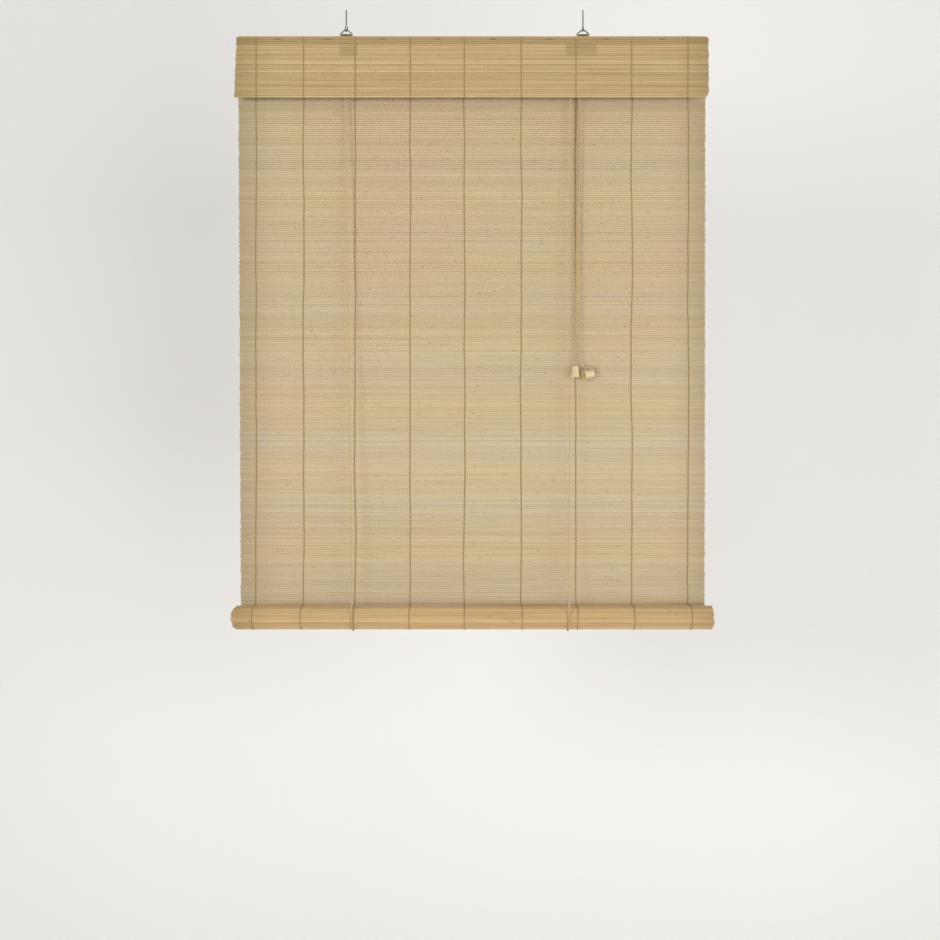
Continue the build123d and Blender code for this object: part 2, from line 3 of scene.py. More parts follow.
import bpy
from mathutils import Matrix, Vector


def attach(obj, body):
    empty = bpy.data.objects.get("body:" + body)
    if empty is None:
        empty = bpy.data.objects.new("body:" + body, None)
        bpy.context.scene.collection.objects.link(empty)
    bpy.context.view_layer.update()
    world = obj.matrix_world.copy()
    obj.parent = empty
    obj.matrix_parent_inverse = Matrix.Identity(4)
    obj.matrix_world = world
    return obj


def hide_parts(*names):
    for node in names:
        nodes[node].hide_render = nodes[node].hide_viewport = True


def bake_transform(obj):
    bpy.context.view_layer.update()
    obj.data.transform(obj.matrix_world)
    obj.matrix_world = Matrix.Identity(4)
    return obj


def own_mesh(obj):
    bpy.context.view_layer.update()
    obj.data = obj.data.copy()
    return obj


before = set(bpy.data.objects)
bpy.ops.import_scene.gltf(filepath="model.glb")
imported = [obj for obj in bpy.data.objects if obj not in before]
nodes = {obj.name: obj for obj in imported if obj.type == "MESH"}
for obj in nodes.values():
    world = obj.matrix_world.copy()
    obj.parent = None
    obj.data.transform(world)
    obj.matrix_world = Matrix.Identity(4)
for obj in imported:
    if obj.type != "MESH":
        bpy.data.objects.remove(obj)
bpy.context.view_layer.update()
print("frame loaded:", len(nodes), "nodes")


# camera, light and backdrop

viewpoint = {"place": (0.0091, -1.890, -0.7623), "angle": 45.6, "reach": 20.0}

lamps = {
    "keySoftbox": {"place": (-1.5, -2.2, -0.35), "aim": (0.0, 0.0, -0.55), "size": 0.75, "power": 29.0},
    "frontFill": {"place": (1.5, -2.6, -0.95), "aim": (0.1, 0.0, -0.50), "size": 1.8, "power": 52.0},
    "backFill": {"place": (0.6, 1.6, 0.9), "aim": (0.0, 0.0, -0.60), "size": 1.6, "power": 12.0},
}

room = {
    "halfWidth": 3.2,
    "floor": -2.20,
    "front": -3.4,
    "back": 1.35,
    "bend": 0.5,
    "top": 1.3,
    "steps": 16,
    "glow": 0.55,
    "sky": (1.0, 0.985, 0.965, 1.0),
    "wallRoughness": 0.85,
    "shadeRate": 0.8,
}


def addLamp(name, lamp):
    data = bpy.data.lights.new(name, "AREA")
    data.shape = "SQUARE"
    data.size = lamp["size"]
    data.energy = lamp["power"]
    made = bpy.data.objects.new(name, data)
    bpy.context.scene.collection.objects.link(made)
    made.location = lamp["place"]
    aim = Vector(lamp["aim"]) - Vector(lamp["place"])
    made.rotation_euler = aim.to_track_quat("-Z", "Y").to_euler()
    return made


def addCamera(view):
    data = bpy.data.cameras.new("viewCamera")
    data.angle = math.radians(view["angle"])
    data.clip_end = view["reach"]
    made = bpy.data.objects.new("viewCamera", data)
    bpy.context.scene.collection.objects.link(made)
    made.location = view["place"]
    made.rotation_euler = (math.pi / 2, 0.0, 0.0)
    bpy.context.scene.camera = made
    return made


addCamera(viewpoint)
for lampName, lampFacts in lamps.items():
    addLamp(lampName, lampFacts)

world = bpy.data.worlds.new("studio")
world.use_nodes = True
skyNode = world.node_tree.nodes["Background"]
skyNode.inputs["Color"].default_value = room["sky"]
skyNode.inputs["Strength"].default_value = room["glow"]
bpy.context.scene.world = world
bpy.context.scene.view_settings.view_transform = "Standard"
print("camera and lamps set")


# node helpers

def addNode(tree, kind, values=None, **settings):
    made = tree.nodes.new(kind)
    for key, value in settings.items():
        setattr(made, key, value)
    for key, value in (values or {}).items():
        if isinstance(value, bpy.types.NodeSocket):
            tree.links.new(value, made.inputs[key])
        else:
            made.inputs[key].default_value = value
    return made


def calc(tree, operation, *values):
    return addNode(tree, "ShaderNodeMath", dict(enumerate(values)), operation=operation).outputs[0]


def spread(tree, value, fromLow, fromHigh, toLow, toHigh):
    ends = {"Value": value, "From Min": fromLow, "From Max": fromHigh, "To Min": toLow, "To Max": toHigh}
    return addNode(tree, "ShaderNodeMapRange", ends).outputs["Result"]


def mixColour(tree, share, first, second, mode="MIX"):
    made = addNode(tree, "ShaderNodeMix", {0: share, 6: first, 7: second}, data_type="RGBA")
    made.blend_type = mode
    return made.outputs[2]


def noise(tree, place, scale, detail=2.0):
    return addNode(tree, "ShaderNodeTexNoise", {"Vector": place, "Scale": scale, "Detail": detail}).outputs[0]


def stretched(tree, place, scale):
    return addNode(tree, "ShaderNodeMapping", {"Vector": place, "Scale": scale}).outputs[0]


def combine(tree, **parts):
    return addNode(tree, "ShaderNodeCombineXYZ", parts).outputs[0]


def toLinear(channel):
    share = channel / 255
    return share / 12.92 if share <= 0.04045 else ((share + 0.055) / 1.055) ** 2.4


def paint(red, green, blue):
    return (toLinear(red), toLinear(green), toLinear(blue), 1.0)


def newMaterial(name):
    material = bpy.data.materials.new(name)
    material.use_nodes = True
    tree = material.node_tree
    return material, tree, tree.nodes["Principled BSDF"]


def addBump(tree, shader, height, strength, depth):
    bump = addNode(tree, "ShaderNodeBump", {"Height": height, "Strength": strength, "Distance": depth})
    tree.links.new(bump.outputs["Normal"], shader.inputs["Normal"])


# materials

def nodeBox(name):
    # left, right, low and high of a part behind the valance, as seen from the front
    places = [v.co for v in nodes[name].data.vertices]
    along = [place.x for place in places]
    upright = [place.z for place in places]
    return min(along), max(along), min(upright), max(upright)


def boxShare(tree, along, height, box, soft):
    # one inside the box of left, right, low and high, and nought outside it
    left, right, low, high = box
    across = calc(
        tree, "MULTIPLY",
        spread(tree, along, left - soft, left + soft, 0.0, 1.0),
        spread(tree, along, right - soft, right + soft, 1.0, 0.0),
    )
    upright = calc(
        tree, "MULTIPLY",
        spread(tree, height, low - soft, low + soft, 0.0, 1.0),
        spread(tree, height, high - soft, high + soft, 1.0, 0.0),
    )
    return calc(tree, "MULTIPLY", across, upright)


bambooGrain = {
    "fibreRate": (22.0, 600.0, 1100.0),
    "cloudRate": 4.5,
    "rowStep": 0.731,      # how far the streaks move on from one slat to the next
    "tintStep": 9.0,
    "jointTint": 5.0,
    "jointRow": 0.37,
    # softness of the lower edge of the painted rail shade on the valance
    "railShadeSoft": 0.0016,
    "stops": (0.20, 0.48, 0.80),
    "matt": 0.62,
    "polished": 0.46,
    "specular": 0.32,
    "bumpDepth": 0.0004,
}


def bambooMaterial(name, look):
    material, tree, shader = newMaterial(name)
    place = addNode(tree, "ShaderNodeTexCoord").outputs["Object"]
    row = addNode(tree, "ShaderNodeAttribute", attribute_name="row").outputs["Fac"]
    tint = addNode(tree, "ShaderNodeAttribute", attribute_name="tint").outputs["Fac"]
    along = addNode(tree, "ShaderNodeSeparateXYZ", {0: place}).outputs["X"]
    streakPlace = combine(
        tree,
        X=calc(tree, "MULTIPLY", along, look["streakRate"]),
        Y=calc(tree, "MULTIPLY", row, bambooGrain["rowStep"]),
        Z=calc(tree, "MULTIPLY", tint, bambooGrain["tintStep"]),
    )
    streak = noise(tree, streakPlace, 1.0, 2.0)
    fibre = noise(tree, stretched(tree, place, bambooGrain["fibreRate"]), 1.0, 3.0)
    cloud = noise(tree, place, bambooGrain["cloudRate"], 1.0)
    streakTone = calc(tree, "MULTIPLY", streak, 1.0 - look["slatShare"])
    slatTone = calc(tree, "MULTIPLY_ADD", tint, look["slatShare"], streakTone)
    tone = calc(tree, "MULTIPLY_ADD", calc(tree, "SUBTRACT", fibre, 0.5), look["fibreShare"], slatTone)
    ramp = addNode(tree, "ShaderNodeValToRGB", {"Fac": tone})
    stops = ramp.color_ramp.elements
    darkAt, middleAt, paleAt = bambooGrain["stops"]
    stops[0].position, stops[0].color = darkAt, look["dark"]
    stops[1].position, stops[1].color = paleAt, look["pale"]
    middle = stops.new(middleAt)
    middle.color = look["middle"]
    warmth = spread(tree, cloud, 0.35, 0.65, 0.0, 1.0)
    cast = mixColour(tree, warmth, look["cool"], look["warm"])
    colour = mixColour(tree, 1.0, ramp.outputs["Color"], cast, "MULTIPLY")
    # the cane's joints fall at another place on each slat
    rowPhase = calc(tree, "MULTIPLY", row, bambooGrain["jointRow"])
    slatPhase = calc(tree, "MULTIPLY_ADD", tint, bambooGrain["jointTint"], rowPhase)
    phase = calc(tree, "MULTIPLY_ADD", along, look["jointRate"], slatPhase)
    ring = spread(tree, calc(tree, "FRACT", phase), 0.0, look["jointShare"], look["jointDepth"], 0.0)
    colour = mixColour(tree, ring, colour, look["joint"])
    # painted shade: the valance's top edge is darker where the rail behind it blocks the light through the
    # slats
    if "railShadeTop" in look:
        height = addNode(tree, "ShaderNodeSeparateXYZ", {0: place}).outputs["Z"]
        railShadeFoot = look["railShadeTop"] - bambooGrain["railShadeSoft"]
        railShade = spread(tree, height, railShadeFoot, look["railShadeTop"], 0.0, look["railShadeShare"])
        colour = mixColour(tree, railShade, colour, look["railShade"])
        # painted shade of the cord gear behind: the slats are darker where the pulley and lock would block
        # the light through them
        for box in look["gearShadeBoxes"]:
            inside = boxShare(tree, along, height, box, look["gearShadeSoft"])
            patchy = spread(tree, streak, 0.35, 0.65, 0.35, 1.0)
            share = calc(tree, "MULTIPLY", calc(tree, "MULTIPLY", inside, patchy), look["gearShadeShare"])
            colour = mixColour(tree, share, colour, look["gearShade"])
    tree.links.new(colour, shader.inputs["Base Color"])
    rough = spread(tree, fibre, 0.3, 0.7, bambooGrain["matt"], bambooGrain["polished"])
    tree.links.new(rough, shader.inputs["Roughness"])
    shader.inputs["Specular IOR Level"].default_value = bambooGrain["specular"]
    addBump(tree, shader, fibre, 0.35, bambooGrain["bumpDepth"])
    return material


curtainLook = {
    "dark": paint(178, 159, 125),
    "middle": paint(183, 164, 130),
    "pale": paint(188, 170, 137),
    "cool": paint(253, 254, 249),
    "warm": paint(255, 252, 249),
    "joint": paint(150, 125, 86),
    "streakRate": 5.0,
    "slatShare": 0.45,
    "fibreShare": 0.35,
    "jointRate": 2.3,
    "jointShare": 0.010,
    "jointDepth": 0.55,
}
# the valance is warmer, with painted shade along its top edge, where the rail behind blocks the light through
# the slats
valanceLook = dict(curtainLook)
valanceLook.update({
    "dark": paint(165, 141, 100),
    "middle": paint(178, 155, 114),
    "pale": paint(190, 169, 128),
    "cool": paint(251, 253, 245),
    "warm": paint(255, 250, 246),
    "slatShare": 0.4,
    # painted shade of the rail behind, along the top edge
    "railShadeTop": -0.0465,
    "railShadeShare": 0.75,
    "railShade": paint(152, 130, 89),
    # painted shade of the pulley and lock behind the valance, in their boxes
    "gearShadeBoxes": [nodeBox("pulley_frame"), nodeBox("lock_frame")],
    "gearShadeSoft": 0.0012,
    "gearShadeShare": 0.6,
    "gearShade": paint(138, 118, 80),
})
rollLook = dict(curtainLook)
rollLook.update({
    "dark": paint(168, 138, 96),
    "middle": paint(184, 156, 113),
    "pale": paint(199, 172, 130),
    "cool": paint(251, 250, 243),
    "warm": paint(255, 248, 243),
    "joint": paint(140, 104, 64),
    "slatShare": 0.4,
})


grain = {
    "plySlope": (1.0, 1.0, 0.55),
    "plyRate": 420.0,
    "fuzzRate": 900.0,
    "woodGrain": (7.0, 160.0, 260.0),
    "woodPores": (60.0, 1500.0, 1500.0),
    "stainRate": 140.0,
    "scratchRate": (400.0, 900.0, 2600.0),
    "mottleRate": (120.0, 120.0, 420.0),
}


def threadMaterial(name, dark, light):
    material, tree, shader = newMaterial(name)
    place = addNode(tree, "ShaderNodeTexCoord").outputs["Object"]
    plies = addNode(tree, "ShaderNodeTexWave", {
        "Vector": stretched(tree, place, grain["plySlope"]),
        "Scale": grain["plyRate"],
        "Distortion": 2.0,
        "Detail Scale": 1.5,
    }, bands_direction="DIAGONAL").outputs["Fac"]
    fuzz = noise(tree, place, grain["fuzzRate"], 2.0)
    share = calc(tree, "MULTIPLY_ADD", plies, 0.6, calc(tree, "MULTIPLY", fuzz, 0.4))
    tree.links.new(mixColour(tree, share, dark, light), shader.inputs["Base Color"])
    tree.links.new(spread(tree, fuzz, 0.3, 0.7, 0.82, 0.95), shader.inputs["Roughness"])
    shader.inputs["Specular IOR Level"].default_value = 0.2
    addBump(tree, shader, share, 0.5, 0.0002)
    return material


def woodMaterial(name, dark, light):
    material, tree, shader = newMaterial(name)
    place = addNode(tree, "ShaderNodeTexCoord").outputs["Object"]
    rings = noise(tree, stretched(tree, place, grain["woodGrain"]), 1.0, 4.0)
    pores = noise(tree, stretched(tree, place, grain["woodPores"]), 1.0, 2.0)
    figure = calc(tree, "MULTIPLY_ADD", pores, 0.3, calc(tree, "MULTIPLY", rings, 0.7))
    share = spread(tree, figure, 0.35, 0.65, 0.0, 1.0)
    tree.links.new(mixColour(tree, share, dark, light), shader.inputs["Base Color"])
    tree.links.new(spread(tree, pores, 0.3, 0.7, 0.7, 0.5), shader.inputs["Roughness"])
    addBump(tree, shader, share, 0.25, 0.0003)
    return material


def metalMaterial(name, dark, light, smooth, dull):
    material, tree, shader = newMaterial(name)
    place = addNode(tree, "ShaderNodeTexCoord").outputs["Object"]
    stain = noise(tree, place, grain["stainRate"], 4.0)
    scratch = noise(tree, stretched(tree, place, grain["scratchRate"]), 1.0, 2.0)
    share = spread(tree, stain, 0.35, 0.65, 0.0, 1.0)
    tree.links.new(mixColour(tree, share, dark, light), shader.inputs["Base Color"])
    tree.links.new(spread(tree, scratch, 0.3, 0.7, smooth, dull), shader.inputs["Roughness"])
    shader.inputs["Metallic"].default_value = 1.0
    addBump(tree, shader, scratch, 0.12, 0.0001)
    return material


def satinMaterial(name, dark, light, smooth, dull):
    material, tree, shader = newMaterial(name)
    place = addNode(tree, "ShaderNodeTexCoord").outputs["Object"]
    mottle = noise(tree, stretched(tree, place, grain["mottleRate"]), 1.0, 3.0)
    share = spread(tree, mottle, 0.35, 0.65, 0.0, 1.0)
    tree.links.new(mixColour(tree, share, dark, light), shader.inputs["Base Color"])
    tree.links.new(spread(tree, mottle, 0.3, 0.7, smooth, dull), shader.inputs["Roughness"])
    shader.inputs["Specular IOR Level"].default_value = 0.45
    addBump(tree, shader, mottle, 0.15, 0.0001)
    return material


finishes = {
    "curtainBamboo": bambooMaterial("curtainBamboo", curtainLook),
    "valanceBamboo": bambooMaterial("valanceBamboo", valanceLook),
    "rollBamboo": bambooMaterial("rollBamboo", rollLook),
    "oliveThread": threadMaterial("oliveThread", paint(128, 108, 70), paint(160, 138, 97)),
    "creamCord": threadMaterial("creamCord", paint(158, 134, 94), paint(198, 176, 134)),
    "railWood": woodMaterial("railWood", paint(168, 128, 80), paint(206, 170, 120)),
    "zincWire": metalMaterial("zincWire", paint(92, 84, 74), paint(136, 127, 114), 0.32, 0.50),
    "pressedSteel": metalMaterial("pressedSteel", paint(112, 110, 106), paint(158, 156, 152), 0.34, 0.52),
    "dulledBrass": metalMaterial("dulledBrass", paint(96, 84, 66), paint(140, 124, 98), 0.38, 0.58),
    "castCam": metalMaterial("castCam", paint(132, 104, 60), paint(178, 148, 92), 0.36, 0.55),
    "paleNylon": satinMaterial("paleNylon", paint(206, 200, 186), paint(228, 223, 210), 0.35, 0.48),
    "creamBell": satinMaterial("creamBell", paint(200, 179, 138), paint(216, 197, 157), 0.32, 0.46),
}
print("materials made:", len(finishes))


# backdrop

def buildBackdrop(facts):
    material, tree, shader = newMaterial("paleBackdrop")
    place = addNode(tree, "ShaderNodeTexCoord").outputs["Object"]
    shade = noise(tree, place, facts["shadeRate"], 1.0)
    wallColour = mixColour(tree, shade, paint(238, 237, 235), paint(244, 243, 241))
    tree.links.new(wallColour, shader.inputs["Base Color"])
    shader.inputs["Roughness"].default_value = facts["wallRoughness"]
    # clear from behind, so the blind's back can be seen
    behind = addNode(tree, "ShaderNodeNewGeometry").outputs["Backfacing"]
    clear = addNode(tree, "ShaderNodeBsdfTransparent").outputs[0]
    surface = addNode(tree, "ShaderNodeMixShader", {0: behind, 1: shader.outputs[0], 2: clear}).outputs[0]
    tree.links.new(surface, tree.nodes["Material Output"].inputs["Surface"])
    profile = [(facts["front"], facts["floor"])]
    for step in range(facts["steps"] + 1):
        turn = math.pi / 2 * step / facts["steps"]
        profile.append((
            facts["back"] - facts["bend"] + facts["bend"] * math.sin(turn),
            facts["floor"] + facts["bend"] - facts["bend"] * math.cos(turn),
        ))
    profile.append((facts["back"], facts["top"]))
    corners = []
    for y, z in profile:
        corners.append((-facts["halfWidth"], y, z))
        corners.append((facts["halfWidth"], y, z))
    faces = [(2 * i, 2 * i + 1, 2 * i + 3, 2 * i + 2) for i in range(len(profile) - 1)]
    mesh = bpy.data.meshes.new("backdrop")
    mesh.from_pydata(corners, [], faces)
    mesh.materials.append(material)
    mesh.shade_smooth()
    made = bpy.data.objects.new("backdrop", mesh)
    bpy.context.scene.collection.objects.link(made)


buildBackdrop(room)


# cords

braid = {"diameter": 0.0020, "ringStep": 0.00075, "lay": 0.0060, "around": 12, "relief": 0.09, "lobes": 3}


def splinePoints(route):
    data = bpy.data.curves.new("route", "CURVE")
    data.dimensions = "3D"
    spline = data.splines.new("NURBS")
    spline.points.add(len(route) - 1)
    for point, place in zip(spline.points, route):
        point.co = (*place, 1.0)
    spline.order_u = 3
    spline.use_endpoint_u = True
    spline.resolution_u = 24
    return curvePoints(data)


def curvePoints(data):
    made = bpy.data.objects.new("route", data)
    bpy.context.scene.collection.objects.link(made)
    bpy.context.view_layer.update()
    mesh = bpy.data.meshes.new_from_object(made.evaluated_get(bpy.context.evaluated_depsgraph_get()))
    line = [v.co.copy() for v in mesh.vertices]
    bpy.data.objects.remove(made)
    bpy.data.meshes.remove(mesh)
    return line


def roundedPoints(corners):
    # corners: place and the two handles' offsets, so a run over a wheel is a true quarter turn
    data = bpy.data.curves.new("run", "CURVE")
    data.dimensions = "3D"
    spline = data.splines.new("BEZIER")
    spline.bezier_points.add(len(corners) - 1)
    spline.resolution_u = 16
    for point, (place, before, after) in zip(spline.bezier_points, corners):
        point.handle_left_type = "FREE"
        point.handle_right_type = "FREE"
        point.co = place
        point.handle_left = Vector(place) + Vector(before)
        point.handle_right = Vector(place) + Vector(after)
    return curvePoints(data)


def evenRings(line, step):
    lengths = [0.0]
    for first, second in zip(line, line[1:]):
        lengths.append(lengths[-1] + (second - first).length)
    count = max(2, round(lengths[-1] / step) + 1)
    rings = []
    at = 0
    for ring in range(count):
        distance = lengths[-1] * ring / (count - 1)
        while at < len(line) - 2 and lengths[at + 1] < distance:
            at += 1
        span = max(lengths[at + 1] - lengths[at], 1e-9)
        rings.append((line[at].lerp(line[at + 1], (distance - lengths[at]) / span), distance))
    return rings


def braidedTube(name, line, side, material):
    # two sets of strands wind opposite ways, so their crossings stand proud like a braid's
    around = braid["around"]
    radius = braid["diameter"] / 2
    rings = evenRings(line, braid["ringStep"])
    vertices = []
    faces = []
    for i, (centre, distance) in enumerate(rings):
        before = rings[max(i - 1, 0)][0]
        after = rings[min(i + 1, len(rings) - 1)][0]
        forward = (after - before).normalized()
        across = forward.cross(Vector(side)).normalized()
        up = across.cross(forward)
        wind = 2 * math.pi * distance / braid["lay"]
        for k in range(around):
            turn = 2 * math.pi * k / around
            weave = math.cos(braid["lobes"] * turn + wind) * math.cos(braid["lobes"] * turn - wind)
            reach = radius * (1.0 + braid["relief"] * weave)
            vertices.append(centre + across * (reach * math.cos(turn)) + up * (reach * math.sin(turn)))
    for i in range(len(rings) - 1):
        for k in range(around):
            a = i * around + k
            b = i * around + (k + 1) % around
            faces.append((a, a + around, b + around, b))
    last = (len(rings) - 1) * around
    faces.append(tuple(range(around)))
    faces.append(tuple(last + k for k in reversed(range(around))))
    mesh = bpy.data.meshes.new(name)
    mesh.from_pydata([tuple(v) for v in vertices], [], faces)
    mesh.materials.append(material)
    mesh.shade_smooth()
    made = bpy.data.objects.new(name, mesh)
    bpy.context.scene.collection.objects.link(made)
    return made


# a drawn cord stretches between the lock and its stretchEnd, which keeps it clear of the roll
pullCords = {
    "left": {
        "route": [
            (0.1945, -0.0035, -0.0576), (0.1943, -0.0034, -0.0840), (0.1932, -0.0028, -0.1360),
            (0.1913, -0.0020, -0.2400), (0.1892, -0.0013, -0.4000), (0.1870, -0.0010, -0.5874),
        ],
        "length": 0.530,
        "stretchEnd": (0.1899, -0.0016, -0.3400),
    },
    "right": {
        "route": [
            (0.1945, 0.0015, -0.0576), (0.1947, 0.0010, -0.0840), (0.1949, 0.0003, -0.1360),
            (0.1936, -0.0005, -0.2400), (0.1919, -0.0010, -0.3900), (0.1926, -0.0014, -0.5000),
            (0.1932, -0.0014, -0.5600), (0.1955, -0.0010, -0.5880), (0.2090, 0.0005, -0.5900),
            (0.2235, 0.0035, -0.5865), (0.2275, 0.0062, -0.5970), (0.2173, 0.0020, -0.5990),
        ],
        "length": 0.5755,
        "stretchEnd": (0.1925, -0.0008, -0.3400),
    },
}

for hand, facts in pullCords.items():
    line = splinePoints(facts["route"])
    pullCord = braidedTube(hand + "PullCord", line, (0.0, 1.0, 0.0), finishes["creamCord"])
    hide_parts(hand + "_pull_cord")
    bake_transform(pullCord)
print("pull cords made")

# backKeep and frontKeep are the shares of their length that the cords keep when the roll is right up
liftCords = {
    "left": {"eyeX": -0.1940, "x": -0.1870, "wheelX": -0.2025, "wheelY": 0.0015},
    "right": {"eyeX": 0.1666, "x": 0.1736, "wheelX": 0.1795, "wheelY": -0.0035},
}
lift = {
    "backY": 0.0127,
    "frontY": -0.0329,
    "backTop": -0.0506,
    "backBottom": -1.0092,
    "frontTop": -0.0575,
    "frontBottom": -1.0087,
    "rollAxis": (-0.0101, -1.0095),
    "bendRadius": 0.0228,
    "backKeep": 0.249,
    "frontKeep": 0.243,
}
circleShare = 0.5523   # a quarter circle's handle as a share of its radius


def makeLiftCord(hand, facts):
    y, z = lift["rollAxis"]
    radius = lift["bendRadius"]
    reach = radius * circleShare
    backTop = Vector((facts["eyeX"] + 0.0005, 0.0153, lift["backTop"]))
    backBottom = Vector((facts["x"], lift["backY"], lift["backBottom"]))
    frontTop = Vector((facts["wheelX"], facts["wheelY"], lift["frontTop"]))
    frontBottom = Vector((facts["x"], lift["frontY"], lift["frontBottom"]))
    cream = finishes["creamCord"]
    backCord = braidedTube(hand + "BackCord", [backTop, backBottom], (1.0, 0.0, 0.0), cream)
    frontCord = braidedTube(hand + "FrontCord", [frontBottom, frontTop], (1.0, 0.0, 0.0), cream)
    bend = roundedPoints([
        ((facts["x"], y + radius, z), (0, 0, reach), (0, 0, -reach)),
        ((facts["x"], y, z - radius), (0, reach, 0), (0, -reach, 0)),
        ((facts["x"], y - radius, z), (0, 0, -reach), (0, 0, reach)),
    ])
    bight = braidedTube(hand + "CordBight", bend, (1.0, 0.0, 0.0), cream)
    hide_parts(hand + "_back_cord")
    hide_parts(hand + "_front_cord")
    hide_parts(hand + "_cord_bight")
    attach(backCord, "rail")
    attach(frontCord, "rail")
    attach(bight, "lift")
    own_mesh(backCord)
    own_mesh(frontCord)


for hand, facts in liftCords.items():
    makeLiftCord(hand, facts)

wheels = {
    "radius": 0.0075,
    "z": -0.0575,
    "pulleyX": -0.1950,
    "lockX": 0.1870,
    "frontY": -0.0035,
    "backY": 0.0015,
}


def makeTopRun(name, startX, y, node):
    # up one side of the first wheel, across, and down the lock wheel's far side
    radius = wheels["radius"]
    reach = radius * circleShare
    z = wheels["z"]
    corners = [((startX - radius, y, z), (0, 0, -reach), (0, 0, reach))]
    if startX < 0:
        corners.append(((startX, y, z + radius), (-reach, 0, 0), (reach, 0, 0)))
        corners.append(((wheels["lockX"], y, z + radius), (-reach, 0, 0), (reach, 0, 0)))
    else:
        corners.append(((startX, y, z + radius), (-reach, 0, 0), (reach, 0, 0)))
    corners.append(((wheels["lockX"] + radius, y, z), (0, 0, reach), (0, 0, -reach)))
    run = braidedTube(name, roundedPoints(corners), (0.0, 1.0, 0.0), finishes["creamCord"])
    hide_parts(node)
    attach(run, "rail")


makeTopRun("leftCordCrossing", wheels["pulleyX"], wheels["backY"], "left_cord_crossing")
makeTopRun("rightCordTurn", wheels["lockX"], wheels["frontY"], "right_cord_turn")
print("lift cords made")


# geometry node trees for the weave

def newTree(name, sockets):
    tree = bpy.data.node_groups.new(name, "GeometryNodeTree")
    tree.is_modifier = True
    tree.interface.new_socket("Geometry", in_out="INPUT", socket_type="NodeSocketGeometry")
    for title, kind in sockets.items():
        tree.interface.new_socket(title, in_out="INPUT", socket_type="NodeSocket" + kind)
    tree.interface.new_socket("Geometry", in_out="OUTPUT", socket_type="NodeSocketGeometry")
    return tree, addNode(tree, "NodeGroupInput").outputs


def randomValue(tree, low, high, seed):
    return addNode(tree, "FunctionNodeRandomValue", {2: low, 3: high, 8: seed}, data_type="FLOAT").outputs[1]


def storeValue(tree, shape, title, value, domain):
    facts = {"Geometry": shape, "Name": title}
    made = addNode(tree, "GeometryNodeStoreNamedAttribute", facts, data_type="FLOAT", domain=domain)
    tree.links.new(value, made.inputs["Value"])
    return made.outputs[0]


def readValue(tree, title):
    return addNode(tree, "GeometryNodeInputNamedAttribute", {"Name": title}, data_type="FLOAT").outputs[0]


def moved(tree, shape, **how):
    return addNode(tree, "GeometryNodeSetPosition", {"Geometry": shape, **how}).outputs[0]


wanderRate = {"along": 6.0, "slatStep": 1.37, "lineStep": 3.7}   # how fast slats and threads stray


def endTree(tree, shape, material):
    smooth = addNode(tree, "GeometryNodeSetShadeSmooth", {0: shape}).outputs[0]
    coated = addNode(tree, "GeometryNodeSetMaterial", {"Geometry": smooth, "Material": material}).outputs[0]
    addNode(tree, "NodeGroupOutput", {0: coated})


